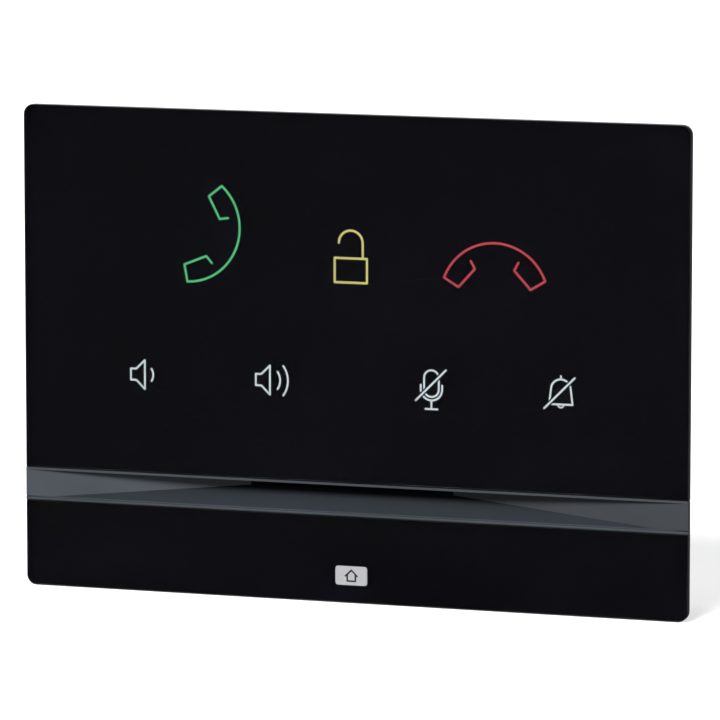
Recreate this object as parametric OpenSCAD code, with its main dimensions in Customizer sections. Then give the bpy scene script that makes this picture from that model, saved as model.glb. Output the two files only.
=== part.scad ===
// Wall-mounted audio intercom station with a glass touch front, a recessed sound band,
// a rear housing with a connector bay, and a steel wall bracket that it hangs on.
// The wall is the plane y = 0, the front faces -Y and Z points up.

/* [Overall size] */
// Width of the glass front
front_w = 170; // [160:1:190]
// Height of the glass front
front_h = 120; // [116:1:130]
// Distance from the wall to the face of the glass
total_depth = 31; // [31:0.5:36]
// Corner radius of the glass
corner_r = 2.5; // [1:0.5:4]
// Thickness of the glass
glass_t = 2; // [1.5:0.5:2]

/* [Sound band] */
// Height of the lower edge of the upper glass above the centre of the front
band_top = -30.4; // [-31:0.1:-29]
// Height of the upper edge of the lower glass above the centre of the front
band_bottom = -38.8; // [-39:0.1:-38]
// Depth of the scoop at the sound slot
scoop_depth = 4; // [3:0.25:4.5]
// Left end of the sound slot
slot_left = -27.3; // [-30:0.1:-22]
// Right end of the sound slot
slot_right = 24.8; // [20:0.1:30]
// Height of the sound slot opening
slot_h = 1.6; // [1:0.1:2]

/* [Symbols] */
// Line width of the two handset symbols and the padlock
big_line = 0.54; // [0.4:0.02:0.9]
// Line width of the small symbols
small_line = 0.47; // [0.4:0.01:0.7]
// Clear gap on each side of the slash of a muted symbol
slash_gap = 0.35; // [0.2:0.05:0.6]

/* [Rear housing] */
// Width of the rear housing
tub_w = 148; // [144:1:150]
// Height of the rear housing
tub_h = 96; // [94:1:98]
// Wall thickness of the rear housing
tub_wall = 2; // [1.6:0.2:2.4]
// Diameter of the hole for a housing screw
screw_hole_d = 2.8; // [2.6:0.1:3.2]

/* [Wall bracket] */
// Width of the bracket plate
bracket_w = 124; // [116:1:126]
// Height of the bracket plate
bracket_h = 78; // [76:1:80]
// Thickness of the bracket plate
bracket_t = 1.5; // [1.2:0.1:1.6]
// Distance between the two screw holes for a round wall box
box_pitch = 60; // [60:0.5:62]
// Diameter of the screw holes for a round wall box
box_hole_d = 4.2; // [3.6:0.1:4.4]
// Distance between the corner screw holes across the bracket
wall_pitch_x = 108; // [100:1:110]
// Distance between the corner screw holes up the bracket
wall_pitch_z = 64; // [60:1:66]
// Diameter of the corner screw holes
wall_hole_d = 4.5; // [4:0.1:5]
// Height that the station lifts to come off its hooks
lift = 6; // [5:0.5:6]

/* [Hidden] */
$fn = 96;
eps = 0.01;
// The round ends of a stroke are this much wider than the stroke
dot_extra = 0.02;

// Depth stations, measured from the wall
front_face = total_depth;
glass_back = front_face - glass_t;
mask_t = 0.15;
mask_inset = 0.02;
mask_back = glass_back - mask_t;
film_t = 0.25;
carrier_front = mask_back - film_t;
carrier_wall = 2.2;
carrier_back = carrier_front - carrier_wall;
flange_front = front_face - 7;
flange_t = 2;
flange_back = flange_front - flange_t;
led_board_front = front_face - 8;
led_board_t = 1.6;
led_board_back = led_board_front - led_board_t;
main_board_front = front_face - 13.4;
main_board_t = 1.6;
main_board_back = main_board_front - main_board_t;
rear_wall_out = 2.8;
rear_wall_in = 4.6;
skirt_edge = 0.8;

// Front layout
half_w = front_w / 2;
half_h = front_h / 2;
rim = 0.6;
bead_r = 0.6;
band_body_half = 74;
band_body_back = front_face - 6.4;
floor_low = band_bottom + 2 * bead_r;
scoop_ceiling = band_top - rim;
slot_low = scoop_ceiling - slot_h;

// Carrier and housing
carrier_w = front_w - 6;
carrier_h = front_h - 6;
flange_w = carrier_w - 4.4;
flange_h = carrier_h - 4.4;
tub_in_w = tub_w - 2 * tub_wall;
tub_in_h = tub_h - 2 * tub_wall;
screw_x = 76.8;
screw_z = 51.4;
screw_core_r = 1.2;
boss_r = 2.6;

// Connector bay
bay_x = 25.5;
bay_low = -15.5;
bay_high = 33.5;
bay_wall = 1.5;
mouth_high = 9.5;

// Speaker
spk_z = -30.5;
spk_r = 13;
ear = 15.5;
ear_a = 45;

// Hooks
hook_x = 46;
hook_z = 22;
hook_w = 8;
hook_up = 4;

// Board outline
board_half_w = 66;
board_half_h = 43;

// Symbol places on the front: x, z
call_at = [-38.4, 29.3];
hang_at = [35.8, 21];
lock_at = [-0.7, 24.7];
vol_down_at = [-57.8, -6.2];
vol_up_at = [-25.2, -6.1];
mic_at = [19.9, -6.5];
bell_at = [52.6, -8.7];

// Windows behind the symbols: x, z, width, height
windows = [
  [-36.5, 29.4, 17.4, 27],
  [-0.7, 25, 11, 16],
  [35.8, 24.2, 28.4, 14],
  [-54.2, -6.4, 8.6, 10],
  [-21, -6.2, 10.6, 10],
  [19.8, -6.7, 10.2, 12],
  [52.2, -5.9, 10.2, 10.4]
];

// Colours
glass_black = [0.05, 0.05, 0.06];
band_grey = [0.34, 0.36, 0.39];
plastic_black = [0.08, 0.08, 0.09];
board_green = [0.05, 0.25, 0.14];
steel = [0.72, 0.73, 0.74];

// ---- helpers ----

// Extrudes a drawing in x and z between two distances from the wall
module slab(w0, w1) {
  translate([0, -w0, 0])
    rotate([90, 0, 0])
      linear_extrude(height = w1 - w0)
        children();
}

// A box from x0 to x1, between two distances from the wall, from z0 to z1
module block(x0, x1, w0, w1, z0, z1) {
  translate([x0, -w1, z0])
    cube([x1 - x0, w1 - w0, z1 - z0]);
}

// A round pin along the depth
module peg(x, z, w0, w1, r) {
  translate([x, -w0, z])
    rotate([90, 0, 0])
      cylinder(h = w1 - w0, r = r);
}

module round_rect(w, h, r) {
  square([w, h - 2 * r], center = true);
  square([w - 2 * r, h], center = true);
  for (sx = [-1, 1])
    for (sy = [-1, 1])
      translate([sx * (w / 2 - r), sy * (h / 2 - r)])
        circle(r = r);
}

// A straight stroke with round ends
module stroke(p, q, t) {
  translate(p)
    rotate(atan2(q[1] - p[1], q[0] - p[0]))
      translate([0, -t / 2])
        square([norm(q - p), t]);
  translate(p)
    circle(d = t + dot_extra);
  translate(q)
    circle(d = t + dot_extra);
}

// A curved stroke about c from angle a0 to a1, with round ends unless other strokes make them
module arc(c, r, a0, a1, t, ends = true) {
  reach = 3 * r;
  step = (a1 - a0) / 3;
  translate(c) {
    intersection() {
      difference() {
        circle(r = r + t / 2);
        circle(r = r - t / 2);
      }
      polygon([
        [0, 0],
        [reach * cos(a0), reach * sin(a0)],
        [reach * cos(a0 + step), reach * sin(a0 + step)],
        [reach * cos(a0 + 2 * step), reach * sin(a0 + 2 * step)],
        [reach * cos(a1), reach * sin(a1)]
      ]);
    }
    if (ends)
      for (a = [a0, a1])
        rotate(a)
          translate([r, 0])
            circle(d = t + dot_extra);
  }
}

// ---- symbol drawings ----

// A telephone handset seen from the side, lying with its back up
module handset_drawing() {
  half = 12.75;
  rise = 8.8;
  r = (half * half + rise * rise) / (2 * rise);
  a = atan2(r - rise, half);
  arc([0, rise - r], r, 180 - a, a, big_line, ends = false);
  for (s = [-1, 1]) {
    stroke([s * half, 0], [s * 9.1, -2.2], big_line);
    stroke([s * 9.1, -2.2], [s * 4.95, 2.35], big_line);
    stroke([s * 4.95, 2.35], [s * 6, 4.25], big_line);
  }
}

module call_drawing() {
  translate(call_at)
    rotate(-110.7)
      handset_drawing();
}

module hang_up_drawing() {
  translate(hang_at)
    handset_drawing();
}

// A padlock with its shackle open on the left
module unlock_drawing() {
  half = 4.13;
  tall = 5.95;
  leg = 3.05;
  lift_up = 3.75;
  translate(lock_at) {
    stroke([-half, 0], [half, 0], big_line);
    stroke([-half, -tall], [half, -tall], big_line);
    stroke([-half, 0], [-half, -tall], big_line);
    stroke([half, 0], [half, -tall], big_line);
    stroke([leg, 0], [leg, lift_up], big_line);
    arc([0, lift_up], leg, 0, 180, big_line);
  }
}

// The loudspeaker outline that both volume symbols share
module horn_drawing() {
  stroke([0, 1.4], [0, -1.4], small_line);
  stroke([0, 1.4], [1.4, 1.4], small_line);
  stroke([0, -1.4], [1.4, -1.4], small_line);
  stroke([1.4, 1.4], [3.65, 3.6], small_line);
  stroke([1.4, -1.4], [3.65, -3.6], small_line);
  stroke([3.65, 3.6], [3.65, -3.6], small_line);
}

module volume_down_drawing() {
  translate(vol_down_at) {
    horn_drawing();
    arc([3.2, 0], 2.65, -34, 34, small_line);
  }
}

module volume_up_drawing() {
  translate(vol_up_at) {
    horn_drawing();
    arc([2.65, 0], 3.65, -35.5, 35.5, small_line);
    arc([2.2, 0], 6.1, -36.5, 36.5, small_line);
  }
}

// A slash from the lower left to the upper right
module slash_line(t) {
  stroke([-3.85, -3.85], [3.8, 3.8], t);
}

module mic_mute_drawing() {
  translate(mic_at) {
    difference() {
      union() {
        arc([0, 2.8], 1.87, 0, 180, small_line);
        arc([0, 0], 1.87, 180, 360, small_line);
        arc([0, 0], 2.72, 180, 360, small_line);
        stroke([-1.87, 0], [-1.87, 2.8], small_line);
        stroke([1.87, 0], [1.87, 2.8], small_line);
        stroke([-2.72, 0], [-2.72, 1], small_line);
        stroke([2.72, 0], [2.72, 1], small_line);
        stroke([0, -2.9], [0, -4.85], small_line);
        stroke([-1.5, -4.85], [1.5, -4.85], small_line);
      }
      translate([-0.15, 1])
        slash_line(small_line + 2 * slash_gap);
    }
    translate([-0.15, 1])
      slash_line(small_line);
  }
}

module bell_mute_drawing() {
  translate(bell_at) {
    difference() {
      union() {
        stroke([-2.95, 0], [2.95, 0], small_line);
        stroke([-2.95, 0], [-2.45, 3.9], small_line);
        stroke([2.95, 0], [2.45, 3.9], small_line);
        arc([0, 3.6], 2.5, 6, 174, small_line);
        stroke([0, 6.1], [0, 6.9], small_line);
        arc([0, -0.05], 0.72, 180, 360, small_line * 0.8);
      }
      translate([-0.35, 2.75])
        slash_line(small_line + 2 * slash_gap);
    }
    translate([-0.35, 2.75])
      slash_line(small_line);
  }
}

// A small house outline for the badge
module house_drawing() {
  line = 0.42;
  stroke([-1.5, -0.1], [0, 1.35], line);
  stroke([1.5, -0.1], [0, 1.35], line);
  stroke([-1.05, 0.2], [-1.05, -1.35], line);
  stroke([1.05, 0.2], [1.05, -1.35], line);
  stroke([-1.05, -1.35], [1.05, -1.35], line);
}

// ---- front panel ----

// The part of the front outline between two heights
module front_zone(z0, z1, inset) {
  intersection() {
    round_rect(front_w - 2 * inset, front_h - 2 * inset, corner_r);
    translate([-half_w, z0])
      square([front_w, z1 - z0]);
  }
}

module upper_glass() {
  color(glass_black)
    slab(glass_back, front_face)
      front_zone(band_top, half_h, 0);
}

// The badge sits flush in a shallow pocket of the lower glass
badge_z = -53.2;
badge_w = 8.2;
badge_h = 4.75;
badge_t = 0.3;

module lower_glass() {
  color(glass_black)
    difference() {
      slab(glass_back, front_face)
        front_zone(-half_h, band_bottom, 0);
      slab(front_face - badge_t, front_face + 1)
        translate([0, badge_z])
          round_rect(badge_w, badge_h, 0.75);
    }
}

module badge() {
  color([0.72, 0.72, 0.74])
    difference() {
      slab(front_face - badge_t, front_face)
        translate([0, badge_z])
          round_rect(badge_w - 0.04, badge_h - 0.04, 0.73);
      slab(front_face - badge_t / 2, front_face + 1)
        translate([0, badge_z])
          house_drawing();
    }
}

module all_symbols() {
  call_drawing();
  unlock_drawing();
  hang_up_drawing();
  volume_down_drawing();
  volume_up_drawing();
  mic_mute_drawing();
  bell_mute_drawing();
}

module upper_ink_mask() {
  color([0.01, 0.01, 0.01])
    slab(mask_back, glass_back)
      difference() {
        front_zone(band_top + mask_inset, half_h, mask_inset);
        all_symbols();
      }
}

module lower_ink_mask() {
  color([0.01, 0.01, 0.01])
    slab(mask_back, glass_back)
      front_zone(-half_h, band_bottom - mask_inset, mask_inset);
}

module symbol_ink() {
  slab(mask_back, glass_back)
    children();
}

module call_symbol() {
  color([0.25, 0.8, 0.42])
    symbol_ink()
      call_drawing();
}

module unlock_symbol() {
  color([0.88, 0.8, 0.38])
    symbol_ink()
      unlock_drawing();
}

module hang_up_symbol() {
  color([0.84, 0.26, 0.3])
    symbol_ink()
      hang_up_drawing();
}

module volume_down_symbol() {
  color([0.8, 0.92, 0.92])
    symbol_ink()
      volume_down_drawing();
}

module volume_up_symbol() {
  color([0.8, 0.92, 0.92])
    symbol_ink()
      volume_up_drawing();
}

module mic_mute_symbol() {
  color([0.8, 0.92, 0.92])
    symbol_ink()
      mic_mute_drawing();
}

module bell_mute_symbol() {
  color([0.8, 0.92, 0.92])
    symbol_ink()
      bell_mute_drawing();
}

// ---- sound band ----

// The scooped hollow: a sloping floor and two long end facets under a flat ceiling
module scoop() {
  mouth = front_face + 1;
  deep = front_face - scoop_depth;
  intersection() {
    translate([-half_w - 1, 0, 0])
      rotate([90, 0, 90])
        linear_extrude(height = front_w + 2)
          polygon([
            [-mouth, floor_low],
            [-front_face + 0.5, floor_low],
            [-deep, slot_low],
            [-deep, scoop_ceiling],
            [-mouth, scoop_ceiling]
          ]);
    translate([0, 0, band_bottom])
      linear_extrude(height = band_top - band_bottom)
        polygon([
          [-half_w - 1, -mouth],
          [-half_w - 1, -front_face],
          [-half_w, -front_face],
          [slot_left, -deep],
          [slot_right, -deep],
          [half_w, -front_face],
          [half_w + 1, -front_face],
          [half_w + 1, -mouth]
        ]);
  }
}

module speaker_band() {
  gap = 0.05;
  low = band_bottom + gap;
  high = band_top - gap;
  bead_w = front_face - bead_r;
  color(band_grey)
    difference() {
      union() {
        block(-half_w, half_w, glass_back, front_face, floor_low, high);
        block(-half_w, half_w, glass_back, bead_w, low, floor_low + eps);
        translate([-half_w, -bead_w, floor_low - bead_r])
          rotate([0, 90, 0])
            cylinder(h = front_w, r = bead_r);
        block(-band_body_half, band_body_half, band_body_back, glass_back + eps, low + 0.2, high - 0.2);
      }
      scoop();
      block(slot_left, slot_right, band_body_back - 1, front_face - scoop_depth + eps,
            slot_low, scoop_ceiling);
    }
}

mesh_t = 0.3;
mesh_back = band_body_back - mesh_t;

module slot_mesh() {
  color([0.05, 0.05, 0.05])
    block(slot_left - 1.2, slot_right + 1.2, mesh_back, band_body_back, slot_low - 1, scoop_ceiling + 0.3);
}

// ---- touch film, light path and front board ----

strap_x0 = 61.5;
strap_x1 = 68.5;
strap_z = 12;

module touch_film() {
  color([0.75, 0.7, 0.55])
    union() {
      block(-80, 80, carrier_front, mask_back, -28, 57);
      block(strap_x0, strap_x1, led_board_front + 0.4, carrier_front + eps, strap_z, strap_z + 0.3);
    }
}

module touch_film_socket() {
  color([0.85, 0.82, 0.72])
    difference() {
      block(strap_x0 - 0.6, strap_x1 + 0.6, led_board_front, led_board_front + 1.4,
            strap_z - 1.4, strap_z + 1.6);
      block(strap_x0 - 0.1, strap_x1 + 0.1, led_board_front + 0.3, led_board_front + 2,
            strap_z - 0.1, strap_z + 0.4);
    }
}

module symbol_diffusers() {
  color([0.9, 0.9, 0.9])
    for (w = windows)
      slab(carrier_back + 0.8, carrier_back + 1.8)
        translate([w[0], w[1]])
          square([w[2] - 0.3, w[3] - 0.3], center = true);
}

module light_box() {
  color([0.92, 0.92, 0.9])
    slab(led_board_front, carrier_back)
      difference() {
        translate([-59.2, -13])
          square([118.4, 58]);
        for (w = windows)
          translate([w[0], w[1]])
            square([w[2], w[3]], center = true);
      }
}

// Screws of the front board: x, z
led_screws = [[-62, -11], [-62, 43], [69, -11], [69, 43]];

module led_board() {
  color(board_green)
    slab(led_board_back, led_board_front)
      difference() {
        translate([-65, -14])
          square([136.4, 60]);
        for (p = led_screws)
          translate(p)
            circle(r = 1.2);
      }
}

module symbol_leds() {
  color([0.95, 0.93, 0.8])
    for (w = windows)
      for (s = [-1, 1])
        block(w[0] + s * w[2] / 4 - 1.4, w[0] + s * w[2] / 4 + 1.4, led_board_front, led_board_front + 0.8,
              w[1] - 0.7, w[1] + 0.7);
}

module touch_controller() {
  color([0.06, 0.06, 0.06])
    block(26.5, 33.5, led_board_back - 0.9, led_board_back, 28, 35);
}

ribbon_x0 = -56;
ribbon_x1 = -44;

module ribbon_cable() {
  low = main_board_front + 0.5;
  high = led_board_back - 0.9;
  t = 0.3;
  color([0.85, 0.85, 0.88])
    union() {
      block(ribbon_x0, ribbon_x1, low, low + t, 15.4, 26);
      block(ribbon_x0, ribbon_x1, low, high + t, 15.4, 15.7);
      block(ribbon_x0, ribbon_x1, high, high + t, 15.4, 20);
    }
}

module ribbon_sockets() {
  color([0.85, 0.82, 0.72])
    union() {
      block(ribbon_x0 - 1, ribbon_x1 + 1, main_board_front, main_board_front + 1.4, 26, 30);
      block(ribbon_x0 - 1, ribbon_x1 + 1, led_board_back - 1.5, led_board_back, 20, 24);
    }
}

// ---- front carrier ----

// Screws that join housing and carrier: x, z
housing_screw_at = [
  [-screw_x, -44], [-screw_x, 0], [-screw_x, 44],
  [screw_x, -44], [screw_x, 0], [screw_x, 44],
  [-40, -screw_z], [40, -screw_z], [-40, screw_z], [40, screw_z]
];
speaker_ears = [
  [ear * cos(ear_a), spk_z + ear * sin(ear_a)],
  [-ear * cos(ear_a), spk_z - ear * sin(ear_a)]
];

module front_carrier() {
  color(plastic_black)
    difference() {
      union() {
        slab(carrier_back, carrier_front)
          round_rect(carrier_w, carrier_h, corner_r);
        slab(flange_back, carrier_back + eps)
          difference() {
            round_rect(carrier_w, carrier_h, corner_r);
            round_rect(carrier_w - 4, carrier_h - 4, 1.5);
          }
        for (p = housing_screw_at)
          peg(p[0], p[1], flange_front, carrier_back + eps, boss_r);
        for (p = led_screws)
          peg(p[0], p[1], led_board_front, carrier_back + eps, 2.2);
        for (p = speaker_ears)
          peg(p[0], p[1], flange_back, carrier_back + eps, 2.3);
        difference() {
          peg(0, spk_z, mesh_back, carrier_back + eps, 12.8);
          peg(0, spk_z, mesh_back - 1, carrier_back + 1, 10.8);
        }
      }
      block(-band_body_half - 0.2, band_body_half + 0.2, flange_back - 1, carrier_front + 1,
            band_bottom + 0.05, band_top - 0.05);
      for (w = windows)
        block(w[0] - w[2] / 2, w[0] + w[2] / 2, carrier_back - 1, carrier_front + 1,
              w[1] - w[3] / 2, w[1] + w[3] / 2);
      block(strap_x0 - 0.4, strap_x1 + 0.4, carrier_back - 1, carrier_front + 1,
            strap_z - 0.4, strap_z + 0.7);
      for (p = housing_screw_at)
        peg(p[0], p[1], flange_front - 1, flange_front + 3.4, screw_core_r + 0.05);
      for (p = led_screws)
        peg(p[0], p[1], led_board_front - 1, led_board_front + 4.2, 1.05);
      for (p = speaker_ears)
        peg(p[0], p[1], flange_back - 1, flange_back + 4.2, 1.05);
    }
}

// ---- speaker and microphone ----

// Turns a drawing of radius and distance from the wall about the speaker's axis
module spun() {
  translate([0, 0, spk_z])
    rotate([90, 0, 0])
      rotate_extrude()
        children();
}

spk_front = flange_back;
spk_rim = 1.5;
spk_back = spk_front - 6.8;
cone_edge = 8.8;
coil_r = 3.5;
// The two wires run up from a terminal strip on the basket
wire_x = [-6, -4];
wire_low = -18.4;
wire_high = -6;
wire_w = main_board_front + 2;

module speaker_frame() {
  color([0.25, 0.26, 0.28])
    difference() {
      union() {
        spun()
          polygon([
            [10.9, spk_front],
            [spk_r, spk_front],
            [spk_r, spk_front - spk_rim],
            [12.4, spk_front - spk_rim],
            [8.2, spk_back],
            [3.9, spk_back],
            [3.9, spk_back + 1],
            [7.6, spk_back + 1],
            [11.2, spk_front - 1.4],
            [10.9, spk_front - 1.1]
          ]);
        difference() {
          for (p = speaker_ears)
            peg(p[0], p[1], spk_front - spk_rim, spk_front, 2.6);
          peg(0, spk_z, spk_front - 3, spk_front + 1, spk_r - 0.5);
        }
        block(wire_x[0] - 1.2, wire_x[1] + 1.2, wire_w - 1, spk_front - spk_rim + 0.1,
              wire_low - 1.4, wire_low);
      }
      for (p = speaker_ears)
        peg(p[0], p[1], spk_front - 3, spk_front + 1, 1.2);
      for (a = [0, 90])
        translate([0, 0, spk_z])
          rotate([0, a, 0])
            translate([-14, -spk_back - 4.2, -2.5])
              cube([28, 3, 5]);
    }
}

module speaker_magnet() {
  color(steel)
    spun()
      polygon([
        [0, spk_back - 4.4],
        [8, spk_back - 4.4],
        [8, spk_back],
        [3.9, spk_back],
        [3.9, spk_back - 3.2],
        [2.7, spk_back - 3.2],
        [2.7, spk_back + 0.2],
        [0, spk_back + 0.2]
      ]);
}

// Paper cone with its dust cap and the former of the voice coil
module speaker_cone() {
  color([0.12, 0.12, 0.13])
    spun()
      polygon([
        [coil_r - 0.4, spk_back - 1.8],
        [coil_r, spk_back - 1.8],
        [coil_r, spk_back + 1.6],
        [cone_edge, spk_front - 1.6],
        [cone_edge, spk_front - 1.2],
        [coil_r + 0.2, spk_back + 2.6],
        [2.4, spk_back + 3],
        [0, spk_back + 3.3],
        [0, spk_back + 3],
        [2.2, spk_back + 2.7],
        [coil_r - 0.4, spk_back + 2.1]
      ]);
}

module speaker_surround() {
  color([0.04, 0.04, 0.04])
    spun()
      translate([(cone_edge + 10.6) / 2, spk_front - 1.2])
        difference() {
          circle(r = 0.9);
          circle(r = 0.6);
          translate([-2, -4])
            square([4, 4]);
        }
}

module speaker_gasket() {
  color([0.1, 0.1, 0.1])
    difference() {
      peg(0, spk_z, spk_front, mesh_back, 12.8);
      peg(0, spk_z, spk_front - 1, mesh_back + 1, 10.8);
    }
}

module speaker_screws() {
  color(steel)
    for (p = speaker_ears)
      union() {
        peg(p[0], p[1], spk_front - spk_rim - 1.5, spk_front - spk_rim, 2.1);
        peg(p[0], p[1], spk_front - spk_rim - eps, spk_front + 3.6, 1);
      }
}

module speaker_wires() {
  color([0.75, 0.1, 0.1])
    for (x = wire_x)
      translate([x, -wire_w, wire_low])
        cylinder(h = wire_high - wire_low, r = 0.5);
}

// Where the speaker's wires plug into the main board
module speaker_socket() {
  color([0.9, 0.88, 0.8])
    block(wire_x[0] - 1.5, wire_x[1] + 1.5, main_board_front, main_board_front + 3.4,
          wire_high, wire_high + 4.5);
}

mic_x = 20.1;
mic_z = -32;

module mic_boot() {
  color([0.06, 0.06, 0.06])
    difference() {
      block(mic_x - 4.3, mic_x + 4.3, spk_front - 1.7, mesh_back, mic_z - 4, mic_z + 3.4);
      peg(mic_x, mic_z, spk_front - 3, spk_front + 1, 3);
      peg(mic_x, mic_z, spk_front, mesh_back + 1, 0.7);
    }
}

module microphone() {
  color(steel)
    peg(mic_x, mic_z, spk_front - 1.5, spk_front + 0.9, 2.95);
}

// ---- rear housing ----

main_posts = [
  [-board_half_w + 4, -board_half_h + 4],
  [board_half_w - 4, -board_half_h + 4],
  [-board_half_w + 4, board_half_h - 4],
  [board_half_w - 4, board_half_h - 4]
];

module rear_housing() {
  color(plastic_black)
    difference() {
      union() {
        slab(flange_back, flange_front)
          difference() {
            round_rect(flange_w, flange_h, 1.4);
            square([tub_in_w, tub_in_h], center = true);
          }
        slab(skirt_edge, flange_back + eps)
          difference() {
            round_rect(tub_w, tub_h, 4);
            round_rect(tub_in_w, tub_in_h, 2);
          }
        slab(rear_wall_out, rear_wall_in)
          square([tub_in_w + 1, tub_in_h + 1], center = true);
        for (p = main_posts)
          peg(p[0], p[1], rear_wall_in - eps, main_board_back, 3);
        difference() {
          block(-bay_x - bay_wall, bay_x + bay_wall, rear_wall_in - eps, main_board_back - 0.2,
                bay_low - bay_wall, bay_high + bay_wall);
          block(-bay_x, bay_x, rear_wall_in - 1, main_board_back + 1, bay_low, bay_high);
        }
      }
      block(-bay_x, bay_x, rear_wall_out - 1, rear_wall_in + 1, bay_low, mouth_high);
      for (sx = [-1, 1])
        for (sz = [-1, 1])
          block(sx * hook_x - hook_w / 2 - 0.5, sx * hook_x + hook_w / 2 + 0.5,
                rear_wall_out - 1, rear_wall_in + 1,
                sz * hook_z - lift - 0.3, sz * hook_z + bracket_t + 0.3);
      for (p = housing_screw_at)
        peg(p[0], p[1], flange_back - 1, flange_front + 1, screw_hole_d / 2);
      for (p = main_posts)
        peg(p[0], p[1], rear_wall_in + 2, main_board_back + 1, screw_core_r + 0.05);
      for (x = [-57 : 6 : 57])
        block(x - 1.5, x + 1.5, 8, 16, tub_in_h / 2 - 1, tub_h / 2 + 1);
      for (x = [36 : 6 : 60])
        for (s = [-1, 1])
          block(s * x - 1.5, s * x + 1.5, 8, 16, -tub_h / 2 - 1, 1 - tub_in_h / 2);
    }
}

module rating_label() {
  color([0.85, 0.86, 0.87])
    block(-30, 30, 6, 18, -tub_h / 2 - 0.12, -tub_h / 2);
}

module housing_screws() {
  color(steel)
    for (p = housing_screw_at)
      difference() {
        union() {
          peg(p[0], p[1], flange_back - 1.6, flange_back, 2.4);
          peg(p[0], p[1], flange_back - eps, flange_front + 3, screw_core_r);
        }
        for (a = [0, 90])
          translate([p[0], -flange_back + 1.1, p[1]])
            rotate([0, a, 0])
              cube([2.8, 1.4, 0.6], center = true);
      }
}

// ---- main board ----

module main_board() {
  color(board_green)
    slab(main_board_back, main_board_front)
      difference() {
        square([2 * board_half_w, 2 * board_half_h], center = true);
        translate([0, spk_z])
          circle(r = 14.3);
        translate([-10, -board_half_h - 1])
          square([20, 6]);
        for (p = main_posts)
          translate(p)
            circle(r = 1.6);
      }
}

module board_screws() {
  color(steel)
    union() {
      for (p = main_posts) {
        peg(p[0], p[1], main_board_front, main_board_front + 1.5, 2.6);
        peg(p[0], p[1], rear_wall_in + 3, main_board_front + eps, screw_core_r);
      }
      for (p = led_screws) {
        peg(p[0], p[1], led_board_back - 1.4, led_board_back, 2.2);
        peg(p[0], p[1], led_board_back - eps, led_board_front + 3.2, 1);
      }
    }
}

module processor() {
  color([0.05, 0.05, 0.06])
    block(-20, -6, main_board_front, main_board_front + 1.2, 10, 24);
}

module memory_chip() {
  color([0.05, 0.05, 0.06])
    block(-36, -27, main_board_front, main_board_front + 1, 11, 23);
}

module shield_can() {
  color(steel)
    difference() {
      block(8, 34, main_board_front, main_board_front + 2.6, 5, 25);
      block(8.3, 33.7, main_board_front - 1, main_board_front + 2.3, 5.3, 24.7);
    }
}

module poe_transformer() {
  color([0.1, 0.1, 0.1])
    union() {
      block(38, 52, 9, main_board_back, -33, -20);
      block(39.5, 50.5, 8, 9 + eps, -31.5, -21.5);
    }
}

module power_inductor() {
  color([0.2, 0.2, 0.21])
    union() {
      slab(main_board_back - 5, main_board_back)
        translate([45, 2])
          round_rect(12, 12, 2);
      peg(45, 2, main_board_back - 5.4, main_board_back - 5 + eps, 4.6);
    }
}

module capacitors() {
  color([0.1, 0.12, 0.3])
    union() {
      peg(-38, -27, 7, main_board_back, 4);
      peg(-38, -17, 7, main_board_back, 4);
      peg(-52, 4, 9, main_board_back, 3.2);
      peg(-44, 4, 9, main_board_back, 3.2);
    }
}

// ---- network jack ----

jack_x0 = -24.5;
jack_x1 = -8.5;
jack_low = 9.8;
jack_mid = (jack_x0 + jack_x1) / 2;
jack_w0 = rear_wall_in + 0.3;

module ethernet_jack() {
  color([0.16, 0.16, 0.17])
    difference() {
      block(jack_x0, jack_x1, jack_w0, main_board_back, jack_low, jack_low + 21.2);
      block(jack_mid - 5.9, jack_mid + 5.9, jack_w0 + 2, jack_w0 + 9.6, jack_low - 1, jack_low + 15);
      block(jack_mid - 3.1, jack_mid + 3.1, jack_w0 + 0.9, jack_w0 + 2 + eps, jack_low - 1, jack_low + 12);
    }
}

module jack_contacts() {
  pitch = 1.02;
  color([0.85, 0.68, 0.3])
    for (i = [0 : 7])
      block(jack_mid + (i - 3.5) * pitch - 0.2, jack_mid + (i - 3.5) * pitch + 0.2,
            jack_w0 + 9, jack_w0 + 9.6, jack_low + 2, jack_low + 15);
}

// ---- screw terminals ----

pole = 3.5;
plug_play = 0.3;
header_low = 10;
header_high = 20;
header_w0 = 8.6;
plug_w0 = header_w0 + 0.8 + plug_play;
plug_w1 = 15.2 - plug_play;
pin_w = (plug_w0 + plug_w1) / 2;
plug_low = -0.5;
plug_high = 17.8;

module header(x, poles) {
  half = poles * pole / 2 + 0.2;
  difference() {
    block(x - half - 0.8, x + half + 0.8, header_w0, main_board_back, header_low, header_high);
    block(x - half, x + half, header_w0 + 0.8, 15.2, header_low - 1, header_high - 1.5);
  }
}

module header_pins(x, poles) {
  for (i = [0 : poles - 1])
    translate([x + (i - (poles - 1) / 2) * pole, -pin_w, header_low + 2])
      cylinder(h = header_high - header_low - 3.5, r = 0.5);
}

module plug(x, poles) {
  half = poles * pole / 2 + 0.2 - plug_play;
  difference() {
    block(x - half, x + half, plug_w0, plug_w1, plug_low, plug_high);
    for (i = [0 : poles - 1]) {
      px = x + (i - (poles - 1) / 2) * pole;
      translate([px, -pin_w, header_low + 0.5])
        cylinder(h = 10, r = 0.85);
      translate([px, -pin_w, plug_low - 1])
        cylinder(h = 6, r = 1.15);
      peg(px, 6.5, plug_w0 - 1, plug_w0 + 1.6, 1.35);
    }
  }
}

module plug_screws(x, poles) {
  for (i = [0 : poles - 1])
    difference() {
      peg(x + (i - (poles - 1) / 2) * pole, 6.5, plug_w0 + 0.3, plug_w0 + 1.6, 1.3);
      block(x + (i - (poles - 1) / 2) * pole - 1, x + (i - (poles - 1) / 2) * pole + 1,
            plug_w0, plug_w0 + 0.8, 6.25, 6.75);
    }
}

power_x = 0;
input_x = 15;

module power_header() {
  color([0.1, 0.35, 0.16])
    header(power_x, 2);
}

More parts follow.
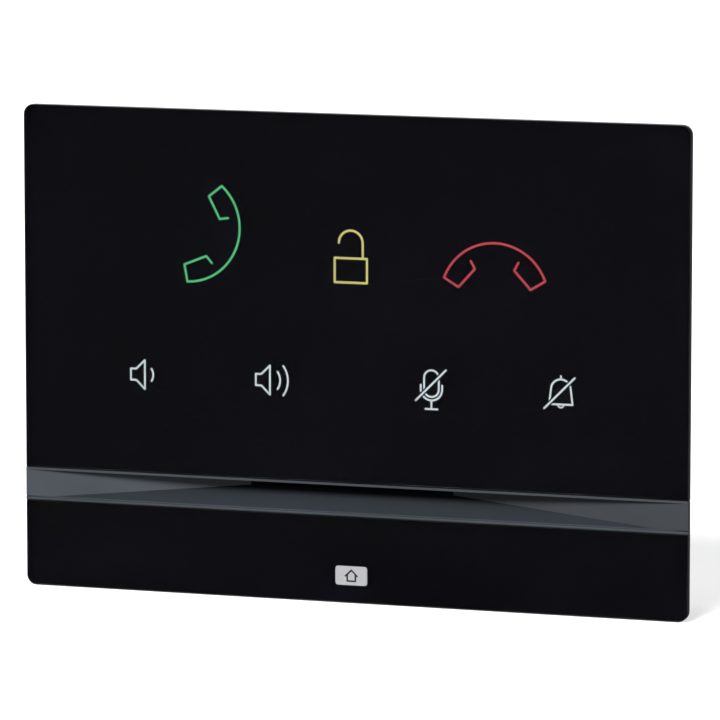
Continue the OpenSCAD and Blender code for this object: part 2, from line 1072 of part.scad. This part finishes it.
module power_header_pins() {
  color(steel)
    header_pins(power_x, 2);
}

module power_plug() {
  color([0.12, 0.42, 0.2])
    plug(power_x, 2);
}

module power_plug_screws() {
  color(steel)
    plug_screws(power_x, 2);
}

module input_header() {
  color([0.1, 0.35, 0.16])
    header(input_x, 4);
}

module input_header_pins() {
  color(steel)
    header_pins(input_x, 4);
}

module input_plug() {
  color([0.12, 0.42, 0.2])
    plug(input_x, 4);
}

module input_plug_screws() {
  color(steel)
    plug_screws(input_x, 4);
}

// ---- reset switch ----

reset_x = 21.5;
reset_z = -12.2;
reset_top = main_board_back - 3.4;

module reset_switch() {
  color([0.3, 0.3, 0.31])
    difference() {
      block(reset_x - 3, reset_x + 3, reset_top, main_board_back, reset_z - 3, reset_z + 3);
      peg(reset_x, reset_z, reset_top - 1, reset_top + 1.6, 2);
    }
}

module reset_button() {
  color([0.75, 0.15, 0.12])
    peg(reset_x, reset_z, reset_top - 3, reset_top + 0.7, 1.7);
}

// ---- wall bracket ----

module wall_bracket() {
  color(steel)
    difference() {
      union() {
        slab(0, bracket_t)
          difference() {
            round_rect(bracket_w, bracket_h, 4);
            translate([0, (bay_low + mouth_high) / 2])
              round_rect(2 * bay_x, mouth_high - bay_low + 1, 2);
            for (sx = [-1, 1]) {
              translate([sx * box_pitch / 2, -3])
                circle(d = box_hole_d);
              for (sz = [-1, 1]) {
                translate([sx * wall_pitch_x / 2, sz * wall_pitch_z / 2])
                  circle(d = wall_hole_d);
                translate([sx * hook_x, sz * hook_z - 4.7])
                  square([hook_w, 9.4], center = true);
              }
            }
          }
        for (sx = [-1, 1])
          for (sz = [-1, 1]) {
            block(sx * hook_x - hook_w / 2, sx * hook_x + hook_w / 2, 0, rear_wall_in + 1.6,
                  sz * hook_z, sz * hook_z + bracket_t);
            block(sx * hook_x - hook_w / 2, sx * hook_x + hook_w / 2, rear_wall_in + 0.3, rear_wall_in + 1.6,
                  sz * hook_z, sz * hook_z + bracket_t + hook_up);
          }
      }
    }
}

module bracket_pads() {
  color([0.06, 0.06, 0.06])
    for (sx = [-1, 1])
      for (z = [-31, 31])
        peg(sx * 20, z, bracket_t, rear_wall_out - 0.1, 4);
}

// ---- assembly ----

wall_bracket();
bracket_pads();
rear_housing();
rating_label();
housing_screws();
front_carrier();
speaker_band();
slot_mesh();
upper_glass();
lower_glass();
upper_ink_mask();
lower_ink_mask();
call_symbol();
unlock_symbol();
hang_up_symbol();
volume_down_symbol();
volume_up_symbol();
mic_mute_symbol();
bell_mute_symbol();
badge();
touch_film();
touch_film_socket();
symbol_diffusers();
light_box();
led_board();
symbol_leds();
touch_controller();
ribbon_cable();
ribbon_sockets();
main_board();
board_screws();
processor();
memory_chip();
shield_can();
poe_transformer();
power_inductor();
capacitors();
ethernet_jack();
jack_contacts();
power_header();
power_header_pins();
power_plug();
power_plug_screws();
input_header();
input_header_pins();
input_plug();
input_plug_screws();
reset_switch();
reset_button();
speaker_frame();
speaker_magnet();
speaker_cone();
speaker_surround();
speaker_gasket();
speaker_screws();
speaker_wires();
speaker_socket();
mic_boot();
microphone();
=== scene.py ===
import math

import bpy
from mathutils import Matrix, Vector


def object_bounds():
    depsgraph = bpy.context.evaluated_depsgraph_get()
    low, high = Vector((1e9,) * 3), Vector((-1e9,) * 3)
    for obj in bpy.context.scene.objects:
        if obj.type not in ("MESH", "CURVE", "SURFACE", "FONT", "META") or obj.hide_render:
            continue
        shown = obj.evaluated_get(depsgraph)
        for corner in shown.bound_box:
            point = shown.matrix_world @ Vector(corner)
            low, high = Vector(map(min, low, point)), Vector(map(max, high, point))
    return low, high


MM = 0.001

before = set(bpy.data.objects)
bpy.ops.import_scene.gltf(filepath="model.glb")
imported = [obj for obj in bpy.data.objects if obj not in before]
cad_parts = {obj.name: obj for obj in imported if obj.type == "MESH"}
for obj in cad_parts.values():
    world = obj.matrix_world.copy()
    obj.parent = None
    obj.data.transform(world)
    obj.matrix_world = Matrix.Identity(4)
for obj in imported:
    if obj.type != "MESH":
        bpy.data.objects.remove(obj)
cad_low, cad_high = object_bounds()

# ---- camera: its angle, distance and lens match the outline of the glass in the photograph ----

CAM_AZIMUTH = math.radians(18.26)
CAM_ELEVATION = math.radians(8.002)
CAM_DISTANCE = 1.46835
CAM_TARGET = Vector((2.248 * MM, cad_low.y, 0.1505 * MM))
CAM_SENSOR = 36
CAM_LENS = 302.09
CAM_NEAR = 0.05
CAM_FAR = 50

scene = bpy.context.scene


def direction(azimuth, elevation):
    """Unit vector from the object out towards these angles; azimuth 0 is straight in front of it."""
    return Vector((
        math.sin(azimuth) * math.cos(elevation),
        -math.cos(azimuth) * math.cos(elevation),
        math.sin(elevation),
    ))


def placed(name, data, looks_along):
    """Puts a camera or a light in the scene and turns it to look along a direction."""
    made = bpy.data.objects.new(name, data)
    scene.collection.objects.link(made)
    made.rotation_mode = "QUATERNION"
    made.rotation_quaternion = looks_along.to_track_quat("-Z", "Y")
    return made


cam_data = bpy.data.cameras.new("studio_camera")
cam_data.sensor_width = CAM_SENSOR
cam_data.lens = CAM_LENS
cam_data.clip_start = CAM_NEAR
cam_data.clip_end = CAM_FAR
cam_side = direction(CAM_AZIMUTH, CAM_ELEVATION)
cam = placed("studio_camera", cam_data, -cam_side)
cam.location = CAM_TARGET + cam_side * CAM_DISTANCE
scene.camera = cam

# ---- light and floor ----

scene.view_settings.view_transform = "Standard"
scene.view_settings.look = "None"

STUDIO_WHITE = (0.96, 0.98, 1, 1)
AMBIENT = 0.10
GLOSS_WORLD = 0.6
KEY_AZIMUTH = math.radians(-12)
KEY_ELEVATION = math.radians(42)
KEY_ANGLE = math.radians(25)
KEY_STRENGTH = 6.2
BACK_WAY = Vector((0.42, -0.72, -0.55))
BACK_ANGLE = math.radians(60)
BACK_STRENGTH = 2.2
FLOOR_HALF = 6.0
FLOOR_GAP = 0.02 * MM
FLOOR_TONE = (0.5, 0.5, 0.5, 1)
FLOOR_GLOW = 0.6
FLOOR_BOUNCE = (0.35, 0.35, 0.35, 1)


def nodes_of(owner):
    owner.use_nodes = True
    tree = owner.node_tree
    tree.nodes.clear()
    return tree


def background(tree, colour, strength):
    made = tree.nodes.new("ShaderNodeBackground")
    made.inputs["Color"].default_value = colour
    made.inputs["Strength"].default_value = strength
    return made.outputs[0]


def chosen(tree, factor, without, with_it):
    """One shader where the factor is 0 and another where it is 1."""
    made = tree.nodes.new("ShaderNodeMixShader")
    tree.links.new(factor, made.inputs["Fac"])
    tree.links.new(without, made.inputs[1])
    tree.links.new(with_it, made.inputs[2])
    return made.outputs[0]


def studio_world():
    """White behind the object, a dimmer white in reflections and little light from all around."""
    scene.world = bpy.data.worlds.new("studio")
    tree = nodes_of(scene.world)
    path = tree.nodes.new("ShaderNodeLightPath")
    around = background(tree, STUDIO_WHITE, AMBIENT)
    reflected = background(tree, STUDIO_WHITE, GLOSS_WORLD)
    behind = background(tree, (1, 1, 1, 1), 1.0)
    unseen = chosen(tree, path.outputs["Is Glossy Ray"], around, reflected)
    out = tree.nodes.new("ShaderNodeOutputWorld")
    tree.links.new(chosen(tree, path.outputs["Is Camera Ray"], unseen, behind), out.inputs[0])


def sun_light(name, strength, angle, looks_along):
    data = bpy.data.lights.new(name, "SUN")
    data.energy = strength
    data.angle = angle
    placed(name, data, looks_along)


def studio_floor():
    """Pale floor that takes shadows and throws less light back than the camera sees in it."""
    z = cad_low.z - FLOOR_GAP
    corners = [(-1, -1), (1, -1), (1, 1), (-1, 1)]
    mesh = bpy.data.meshes.new("studio_floor")
    mesh.from_pydata([(x * FLOOR_HALF, y * FLOOR_HALF, z) for x, y in corners], [], [(0, 1, 2, 3)])
    floor = bpy.data.objects.new("studio_floor", mesh)
    scene.collection.objects.link(floor)
    material = bpy.data.materials.new("studio_floor")
    tree = nodes_of(material)
    seen = tree.nodes.new("ShaderNodeBsdfPrincipled")
    seen.inputs["Base Color"].default_value = FLOOR_TONE
    seen.inputs["Roughness"].default_value = 0.9
    seen.inputs["Specular IOR Level"].default_value = 0.0
    seen.inputs["Emission Color"].default_value = (1, 1, 1, 1)
    seen.inputs["Emission Strength"].default_value = FLOOR_GLOW
    bounced = tree.nodes.new("ShaderNodeBsdfDiffuse")
    bounced.inputs["Color"].default_value = FLOOR_BOUNCE
    path = tree.nodes.new("ShaderNodeLightPath")
    both = chosen(tree, path.outputs["Is Camera Ray"], bounced.outputs[0], seen.outputs[0])
    out = tree.nodes.new("ShaderNodeOutputMaterial")
    tree.links.new(both, out.inputs[0])
    mesh.materials.append(material)


studio_world()
sun_light("key_light", KEY_STRENGTH, KEY_ANGLE, -direction(KEY_AZIMUTH, KEY_ELEVATION))
sun_light("back_fill", BACK_STRENGTH, BACK_ANGLE, BACK_WAY)
studio_floor()

# ---- materials ----

# A face is the glass's front or back, not its edge, when its normal lies this close to Y
FACING_FRONT = 0.999


class Kit:
    """Builds one node material step by step. Coordinates and depths are in millimetres."""

    def __init__(self, name):
        self.material = bpy.data.materials.new(name)
        self.tree = nodes_of(self.material)
        out = self.node("ShaderNodeOutputMaterial")
        self.shader = self.node("ShaderNodeBsdfPrincipled")
        self.link(self.shader.outputs[0], out.inputs[0])
        coord = self.node("ShaderNodeTexCoord")
        scale = self.node("ShaderNodeVectorMath", operation="SCALE")
        scale.inputs["Scale"].default_value = 1 / MM
        self.link(coord.outputs["Object"], scale.inputs[0])
        self.mm = scale.outputs[0]
        self.height = None

    def node(self, kind, **facts):
        made = self.tree.nodes.new(kind)
        for k, v in facts.items():
            setattr(made, k, v)
        return made

    def link(self, a, b):
        self.tree.links.new(a, b)

    def put(self, socket, value):
        """Sets a number or a colour on the socket, or links another node's output to it."""
        if isinstance(value, (int, float)):
            socket.default_value = value
        elif isinstance(value, tuple):
            socket.default_value = value if len(value) != 3 or socket.type != "RGBA" else (*value, 1)
        else:
            self.link(value, socket)

    def stretched(self, factors):
        """Coordinates scaled by axis, so that a pattern runs along the axis scaled least."""
        made = self.node("ShaderNodeVectorMath", operation="MULTIPLY")
        self.link(self.mm, made.inputs[0])
        made.inputs[1].default_value = factors
        return made.outputs[0]

    def noise(self, scale, detail=3.0, roughness=0.55, vector=None):
        made = self.node("ShaderNodeTexNoise")
        self.link(vector or self.mm, made.inputs["Vector"])
        made.inputs["Scale"].default_value = scale
        made.inputs["Detail"].default_value = detail
        made.inputs["Roughness"].default_value = roughness
        return made.outputs["Fac"]

    def cells(self, scale, vector=None):
        made = self.node("ShaderNodeTexVoronoi")
        self.link(vector or self.mm, made.inputs["Vector"])
        made.inputs["Scale"].default_value = scale
        return made.outputs["Distance"]

    def span(self, value, low, high, from_low=0.0, from_high=1.0):
        """Maps the value from one range to another and holds it at the ends."""
        made = self.node("ShaderNodeMapRange")
        self.link(value, made.inputs["Value"])
        made.inputs["From Min"].default_value = from_low
        made.inputs["From Max"].default_value = from_high
        made.inputs["To Min"].default_value = low
        made.inputs["To Max"].default_value = high
        return made.outputs["Result"]

    def maths(self, operation, a, b=0.0):
        made = self.node("ShaderNodeMath", operation=operation)
        self.put(made.inputs[0], a)
        self.put(made.inputs[1], b)
        return made.outputs[0]

    def mix(self, factor, a, b, blend="MIX"):
        made = self.node("ShaderNodeMix", data_type="RGBA", blend_type=blend)
        self.put(made.inputs[0], factor)
        self.put(made.inputs[6], a)
        self.put(made.inputs[7], b)
        return made.outputs[2]

    def grey(self, value):
        """The same value in all three channels."""
        made = self.node("ShaderNodeCombineXYZ")
        for socket in made.inputs:
            self.link(value, socket)
        return made.outputs[0]

    def part(self, axis):
        """One coordinate of the surface point, in millimetres: 0 is X, 1 is Y and 2 is Z."""
        made = self.node("ShaderNodeSeparateXYZ")
        self.link(self.mm, made.inputs[0])
        return made.outputs[axis]

    def facing(self, axis):
        """How far the face looks along X, Y or Z: 1 towards it and -1 away from it."""
        geometry = self.node("ShaderNodeNewGeometry")
        split = self.node("ShaderNodeSeparateXYZ")
        self.link(geometry.outputs["True Normal"], split.inputs[0])
        return split.outputs[axis]

    def edges(self, radius_mm):
        """1 along edges and 0 on flats."""
        bevel = self.node("ShaderNodeBevel", samples=4)
        bevel.inputs["Radius"].default_value = radius_mm * MM
        flat = self.node("ShaderNodeNewGeometry")
        dot = self.node("ShaderNodeVectorMath", operation="DOT_PRODUCT")
        self.link(bevel.outputs[0], dot.inputs[0])
        self.link(flat.outputs["Normal"], dot.inputs[1])
        return self.span(self.maths("SUBTRACT", 1.0, dot.outputs["Value"]), 0.0, 1.0, 0.002, 0.06)

    def bump(self, height, depth_mm):
        made = self.node("ShaderNodeBump")
        made.inputs["Strength"].default_value = 1.0
        made.inputs["Distance"].default_value = depth_mm * MM
        self.link(height, made.inputs["Height"])
        if self.height is not None:
            self.link(self.height, made.inputs["Normal"])
        self.height = made.outputs[0]
        self.link(self.height, self.shader.inputs["Normal"])

    def set(self, **values):
        """Fills the shader's own sockets, named with underscores for spaces."""
        for name, value in values.items():
            self.put(self.shader.inputs[name.replace("_", " ")], value)


def shade(colour, factor):
    return tuple(min(1.0, c * factor) for c in colour)


def plastic(name, colour, rough=0.45, grain=6.0, depth=0.012, specular=0.4):
    """Moulded plastic: fine spark-eroded grain, faint flow marks and edges rubbed a little lighter."""
    k = Kit(name)
    flow = k.noise(0.06, 4)
    fine = k.noise(grain, 2)
    pits = k.cells(grain * 0.55)
    tone = k.mix(k.span(flow, 0, 1, 0.3, 0.7), shade(colour, 0.88), shade(colour, 1.12))
    tone = k.mix(k.span(fine, 0, 0.35, 0.4, 0.8), tone, shade(colour, 1.35))
    rubbed = k.maths("MULTIPLY", k.edges(0.25), k.span(k.noise(0.8, 3), 0, 0.25, 0.35, 0.65))
    tone = k.mix(rubbed, tone, shade(colour, 2.2))
    k.set(Base_Color=tone, Specular_IOR_Level=specular)
    k.set(Roughness=k.span(k.maths("ADD", fine, flow), rough - 0.07, rough + 0.1, 0.6, 1.4))
    k.bump(pits, depth * 0.8)
    k.bump(fine, depth)
    return k.material


def metal(name, colour, rough, brushed):
    """Sheet or turned metal: fine scratches, cloudy stains, spangle and brighter edges."""
    k = Kit(name)
    lines = k.noise(1.0, 5, 0.7, k.stretched(brushed))
    cloud = k.noise(0.12, 5)
    spangle = k.cells(0.35)
    tone = k.mix(k.span(cloud, 0, 1, 0.3, 0.7), shade(colour, 0.8), shade(colour, 1.1))
    tone = k.mix(k.span(spangle, 0, 0.2, 0.1, 0.9), tone, shade(colour, 0.8))
    tone = k.mix(k.maths("MULTIPLY", k.edges(0.2), 0.4), tone, shade(colour, 1.5))
    k.set(Base_Color=tone, Metallic=1.0)
    k.set(Roughness=k.span(k.maths("ADD", lines, cloud), rough - 0.1, rough + 0.16, 0.6, 1.4))
    k.bump(lines, 0.006)
    return k.material


def rubber(name, colour):
    """Dull rubber or coated paper with dust on it."""
    k = Kit(name)
    dust = k.noise(0.5, 5)
    fine = k.noise(4.0, 2)
    k.set(Base_Color=k.mix(k.span(dust, 0, 0.5, 0.45, 0.75), colour, shade(colour, 3)))
    k.set(Specular_IOR_Level=0.25, Roughness=k.span(dust, 0.72, 0.9))
    k.bump(fine, 0.02)
    return k.material


def glowing(name, colour, strength):
    """Lit ink: the light is a little uneven, as it is behind a printed symbol."""
    k = Kit(name)
    patchy = k.noise(0.35, 2)
    k.set(Base_Color=(0.01, 0.01, 0.012), Roughness=0.6, Specular_IOR_Level=0.0)
    k.set(Emission_Color=k.mix(k.span(patchy, 0, 1, 0.35, 0.65), shade(colour, 0.93), colour))
    k.set(Emission_Strength=strength)
    return k.material


def glass(name):
    """Front glass: nearly clear, with faint wiping marks in its gloss."""
    k = Kit(name)
    wipes = k.noise(0.08, 4, 0.6, k.stretched((1.0, 1.0, 0.35)))
    flat = k.maths("GREATER_THAN", k.maths("ABSOLUTE", k.facing(1)), FACING_FRONT)
    k.set(Base_Color=k.mix(flat, (0.004, 0.004, 0.005), (0.93, 0.95, 0.97)), IOR=1.12)
    k.set(Transmission_Weight=flat)
    k.set(Roughness=k.maths("ADD", k.span(wipes, 0.0, 0.03, 0.35, 0.75), k.span(flat, 0.4, 0.0)))
    return k.material


def cloth(name, colour, thread_mm=0.18):
    """Woven acoustic cloth: two crossing sets of round threads with painted shade in the gaps between them,
    a little dusty.
    """
    k = Kit(name)
    height = None
    for axis in (0, 2):
        along = k.maths("SINE", k.maths("MULTIPLY", k.part(axis), 2 * math.pi / thread_mm))
        height = along if height is None else k.maths("MAXIMUM", height, along)
    dust = k.noise(0.9, 4)
    # Painted shade: the gaps between the threads are darkened to 0.3 of the thread colour
    tone = k.mix(k.span(height, 0, 1, -0.6, 0.6), shade(colour, 0.3), colour)
    tone = k.mix(k.span(dust, 0, 0.3, 0.5, 0.8), tone, shade(colour, 3))
    k.set(Base_Color=tone, Specular_IOR_Level=0.15, Sheen_Weight=0.1)
    k.set(Roughness=k.span(dust, 0.75, 0.95))
    k.bump(height, 0.04)
    return k.material


def ink(name, colour):
    """Matt black print, a little uneven in tone."""
    k = Kit(name)
    fine = k.noise(3.0, 2)
    cloud = k.noise(0.02, 2)
    tone = k.mix(k.span(cloud, 0, 1, 0.35, 0.65), shade(colour, 0.85), shade(colour, 1.15))
    k.set(Base_Color=tone, Specular_IOR_Level=0.0, Roughness=k.span(fine, 0.8, 0.95))
    return k.material


def board(name, mask, copper):
    """Solder mask over copper tracks, with plated holes and cloudy dirt."""
    k = Kit(name)
    tracks = k.node("ShaderNodeTexBrick", offset=0.37, offset_frequency=3, squash=0.6, squash_frequency=2)
    turned = k.node("ShaderNodeCombineXYZ")
    k.link(k.part(0), turned.inputs[0])
    k.link(k.part(2), turned.inputs[1])
    k.link(turned.outputs[0], tracks.inputs["Vector"])
    tracks.inputs["Scale"].default_value = 0.55
    tracks.inputs["Mortar Size"].default_value = 0.09
    tracks.inputs["Brick Width"].default_value = 2.1
    tracks.inputs["Row Height"].default_value = 0.55
    route = tracks.outputs["Fac"]
    holes = k.cells(0.28, vector=turned.outputs[0])
    pad = k.span(holes, 1, 0, 0.09, 0.11)
    tone = k.mix(k.maths("MULTIPLY", route, 0.55), mask, shade(mask, 2.1))
    tone = k.mix(pad, tone, copper)
    tone = k.mix(k.span(k.noise(0.3, 4), 0, 0.25), tone, shade(mask, 0.5))
    k.set(Base_Color=tone, Roughness=k.span(k.noise(2.5, 3), 0.28, 0.46), Specular_IOR_Level=0.5)
    k.bump(k.maths("MAXIMUM", route, pad), 0.04)
    return k.material


def label(name, colour, centre_y=-12.0, frame_x=28.7, frame_y=4.8):
    """Blank satin film with a thin printed frame and no lettering."""
    k = Kit(name)
    x = k.maths("ABSOLUTE", k.part(0))
    y = k.maths("ABSOLUTE", k.maths("SUBTRACT", k.part(1), centre_y))
    inside = k.maths("MULTIPLY", k.maths("LESS_THAN", x, frame_x), k.maths("LESS_THAN", y, frame_y))
    near_edge = k.maths("MAXIMUM", k.maths("GREATER_THAN", x, frame_x - 0.4),
                        k.maths("GREATER_THAN", y, frame_y - 0.3))
    printed = k.maths("MULTIPLY", inside, near_edge)
    fine = k.noise(2.0, 3)
    tone = k.mix(k.span(fine, 0, 1, 0.3, 0.7), shade(colour, 0.93), colour)
    k.set(Base_Color=k.mix(printed, tone, (0.2, 0.21, 0.23)), Roughness=k.span(fine, 0.35, 0.5))
    k.bump(fine, 0.008)
    return k.material


def scoop(name, side, shaded_slope_tone, overhang_shade_low=-36.2, overhang_shade_high=-33.0):
    """Satin band with painted shade: its sloping floor takes a painted-shade copy of the colour and is
    darkest under the slot, where the shade of the overhang is painted in. The right end face is painted
    darker than the left.
    """
    k = Kit(name)
    fine = k.noise(7.0, 2)
    flow = k.noise(0.05, 3)
    # Mask of the sloping floor, found by its facing up and out; this floor gets the painted-shade tone
    looks_up = k.span(k.facing(2), 0, 1, 0.3, 0.5)
    looks_out = k.span(k.maths("ABSOLUTE", k.facing(1)), 0, 1, 0.6, 0.75)
    slope_shade_mask = k.maths("MULTIPLY", looks_up, looks_out)
    # Painted shade: the right end face, whose normal leans to -X, is darkened to 0.70 of the left one
    painted_side_shade = k.span(k.facing(0), 0.70, 1.0, -0.05, 0.05)
    # Painted shade of the overhang: the sloping floor darkens to 0.45 towards the slot at its top
    painted_overhang_shade = k.span(k.part(2), 1.0, 0.45, overhang_shade_low, overhang_shade_high)
    tone = k.mix(slope_shade_mask, side, shaded_slope_tone)
    # Multiplies in the painted side shade on the end faces and the painted overhang shade on the floor
    tone = k.mix(1.0, tone, k.mix(slope_shade_mask, k.grey(painted_side_shade), k.grey(painted_overhang_shade)), "MULTIPLY")
    grain = k.span(k.maths("ADD", fine, flow), 0.86, 1.16, 0.7, 1.3)
    tone = k.mix(1.0, tone, k.grey(grain), "MULTIPLY")
    k.set(Base_Color=tone, Specular_IOR_Level=0.06)
    k.set(Roughness=k.span(fine, 0.5, 0.65))
    k.bump(fine, 0.006)
    return k.material


def plate(name, light, dark):
    """Badge: satin plate with its engraved outline filled with dark paint."""
    k = Kit(name)
    fine = k.noise(6.0, 3)
    cut = k.maths("GREATER_THAN", k.part(1), cad_low.y / MM + 0.08)
    tone = k.mix(k.span(fine, 0, 1, 0.3, 0.7), shade(light, 0.92), shade(light, 1.06))
    k.set(Base_Color=k.mix(cut, tone, dark), Specular_IOR_Level=0.3, Roughness=k.span(fine, 0.35, 0.5))
    k.bump(fine, 0.003)
    return k.material


M = {
    "front_glass": glass("front_glass"),
    "ink_black": ink("ink_black", (0.0009, 0.0008, 0.0020)),
    "green_ink": glowing("green_ink", (0.105, 0.60, 0.215), 1.0),
    "yellow_ink": glowing("yellow_ink", (0.72, 0.66, 0.21), 1.0),
    "red_ink": glowing("red_ink", (0.64, 0.066, 0.082), 1.0),
    "white_ink": glowing("white_ink", (0.70, 0.77, 0.78), 1.0),
    # The band's second colour is a painted-shade copy of its grey, several times darker, used on the sloping
    # floor
    "band_grey": scoop("band_grey", (0.046, 0.052, 0.060), (0.0092, 0.0125, 0.0165)),
    "carrier_black": plastic("carrier_black", (0.011, 0.011, 0.0125), 0.5, 5.0, 0.02, specular=0.3),
    "housing_black": plastic("housing_black", (0.016, 0.016, 0.018), 0.55, 3.2, 0.035, specular=0.35),
    "bracket_steel": metal("bracket_steel", (0.53, 0.54, 0.55), 0.36, (0.6, 0.6, 10)),
    "screw_steel": metal("screw_steel", (0.6, 0.6, 0.6), 0.28, (3, 3, 3)),
    "tin": metal("tin", (0.66, 0.67, 0.69), 0.3, (2, 2, 8)),
    "badge_metal": plate("badge_metal", (0.31, 0.31, 0.325), (0.006, 0.006, 0.008)),
    "mesh_cloth": cloth("mesh_cloth", (0.008, 0.008, 0.009)),
    "gold": metal("gold", (0.83, 0.6, 0.26), 0.25, (1, 1, 8)),
    "rubber": rubber("rubber", (0.012, 0.012, 0.012)),
    "label": label("label", (0.74, 0.75, 0.77)),
    "white_plastic": plastic("white_plastic", (0.78, 0.78, 0.75), 0.5, 5.0, 0.01),
    "diffuser": plastic("diffuser", (0.7, 0.72, 0.7), 0.6, 4.0, 0.01),
    "ivory_plastic": plastic("ivory_plastic", (0.62, 0.56, 0.42), 0.5, 5.0, 0.01),
    "main_green": board("main_green", (0.008, 0.07, 0.03), (0.75, 0.6, 0.3)),
    "front_green": board("front_green", (0.008, 0.07, 0.03), (0.75, 0.6, 0.3)),
    "chip_black": plastic("chip_black", (0.014, 0.014, 0.015), 0.55, 8.0, 0.01),
    "ferrite": plastic("ferrite", (0.035, 0.034, 0.036), 0.7, 4.0, 0.03),
    "film": plastic("film", (0.05, 0.045, 0.03), 0.25, 1.0, 0.002),
    "ribbon": plastic("ribbon", (0.6, 0.62, 0.66), 0.35, 1.0, 0.004),
    "capacitor_blue": plastic("capacitor_blue", (0.012, 0.02, 0.09), 0.3, 2.0, 0.004),
    "jack_black": plastic("jack_black", (0.02, 0.02, 0.022), 0.45, 5.0, 0.012),
    "header_green": plastic("header_green", (0.012, 0.11, 0.03), 0.42, 5.0, 0.012),
    "plug_green": plastic("plug_green", (0.016, 0.16, 0.045), 0.4, 5.0, 0.012),
    "button_red": plastic("button_red", (0.42, 0.03, 0.022), 0.4, 5.0, 0.01),
    "red_wire": plastic("red_wire", (0.4, 0.015, 0.015), 0.4, 3.0, 0.01),
    "basket": metal("basket", (0.12, 0.125, 0.13), 0.45, (2, 2, 2)),
    "cone_paper": rubber("cone_paper", (0.02, 0.02, 0.022)),
}

FINISH = {
    "front_glass": ["upper_glass", "lower_glass"],
    "ink_black": ["upper_ink_mask", "lower_ink_mask"],
    "green_ink": ["call_symbol"],
    "yellow_ink": ["unlock_symbol"],
    "red_ink": ["hang_up_symbol"],
    "white_ink": ["volume_down_symbol", "volume_up_symbol", "mic_mute_symbol", "bell_mute_symbol"],
    "band_grey": ["speaker_band"],
    "carrier_black": ["front_carrier"],
    "housing_black": ["rear_housing"],
    "bracket_steel": ["wall_bracket"],
    "screw_steel": [
        "housing_screws", "board_screws", "speaker_screws", "power_plug_screws", "input_plug_screws",
    ],
    "tin": ["shield_can", "power_header_pins", "input_header_pins", "speaker_magnet", "microphone"],
    "badge_metal": ["badge"],
    "gold": ["jack_contacts"],
    "mesh_cloth": ["slot_mesh"],
    "rubber": ["bracket_pads", "speaker_surround", "speaker_gasket", "mic_boot"],
    "label": ["rating_label"],
    "white_plastic": ["light_box", "symbol_leds"],
    "diffuser": ["symbol_diffusers"],
    "ivory_plastic": ["touch_film_socket", "ribbon_sockets", "speaker_socket"],
    "main_green": ["main_board"],
    "front_green": ["led_board"],
    "chip_black": ["processor", "memory_chip", "touch_controller"],
    "ferrite": ["poe_transformer", "power_inductor"],
    "film": ["touch_film"],
    "ribbon": ["ribbon_cable"],
    "capacitor_blue": ["capacitors"],
    "jack_black": ["ethernet_jack", "reset_switch"],
    "header_green": ["power_header", "input_header"],
    "plug_green": ["power_plug", "input_plug"],
    "button_red": ["reset_button"],
    "red_wire": ["speaker_wires"],
    "basket": ["speaker_frame"],
    "cone_paper": ["speaker_cone"],
}

# Edge rounding of each carried-over node, in millimetres
ROUND = {
    "upper_glass": 0.22, "lower_glass": 0.22, "speaker_band": 0.12, "front_carrier": 0.25,
    "rear_housing": 0.3, "wall_bracket": 0.18, "bracket_pads": 0.3, "badge": 0.03,
    "housing_screws": 0.12, "ethernet_jack": 0.15, "power_plug": 0.2, "input_plug": 0.2,
    "power_header": 0.15, "input_header": 0.15, "capacitors": 0.35, "reset_button": 0.2,
    "poe_transformer": 0.3, "power_inductor": 0.4, "light_box": 0.1, "main_board": 0.06,
}
# Large flat sheets whose triangles are joined before their edges are rounded
WHOLE_FACES = ["wall_bracket", "rear_housing", "front_carrier", "upper_glass", "lower_glass", "speaker_band"]
# Prints on the back of the glass, drawn a little behind it so that no two faces coincide
INKS = [
    "upper_ink_mask", "lower_ink_mask", "call_symbol", "unlock_symbol", "hang_up_symbol",
    "volume_down_symbol", "volume_up_symbol", "mic_mute_symbol", "bell_mute_symbol",
]

INK_GAP = 0.03 * MM
WELD_WITHIN = 0.002 * MM
EDGE_ANGLE = math.radians(32)
FLAT_ANGLE = math.radians(0.6)
USUAL_ROUND = 0.08


def dress(name, material, width):
    """Gives one node of the frame its material and its rounded edges."""
    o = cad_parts[name]
    o.data.materials.clear()
    o.data.materials.append(material)
    weld = o.modifiers.new("weld", "WELD")
    weld.merge_threshold = WELD_WITHIN
    if name in INKS:
        back = o.modifiers.new("behind_glass", "DISPLACE")
        back.direction = "Y"
        back.mid_level = 0
        back.strength = INK_GAP
        return
    if name in WHOLE_FACES:
        faces = o.modifiers.new("whole_faces", "DECIMATE")
        faces.decimate_type = "DISSOLVE"
        faces.angle_limit = FLAT_ANGLE
    bevel = o.modifiers.new("edge_round", "BEVEL")
    bevel.limit_method = "ANGLE"
    bevel.angle_limit = EDGE_ANGLE
    bevel.width = width * MM
    bevel.segments = 3
    bevel.use_clamp_overlap = True
    bevel.harden_normals = True


done = set()
for key, members in FINISH.items():
    for member in members:
        dress(member, M[key], ROUND.get(member, USUAL_ROUND))
        done.add(member)
left_over = sorted(set(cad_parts) - done)
if left_over:
    raise ValueError("no finish for " + ", ".join(left_over))
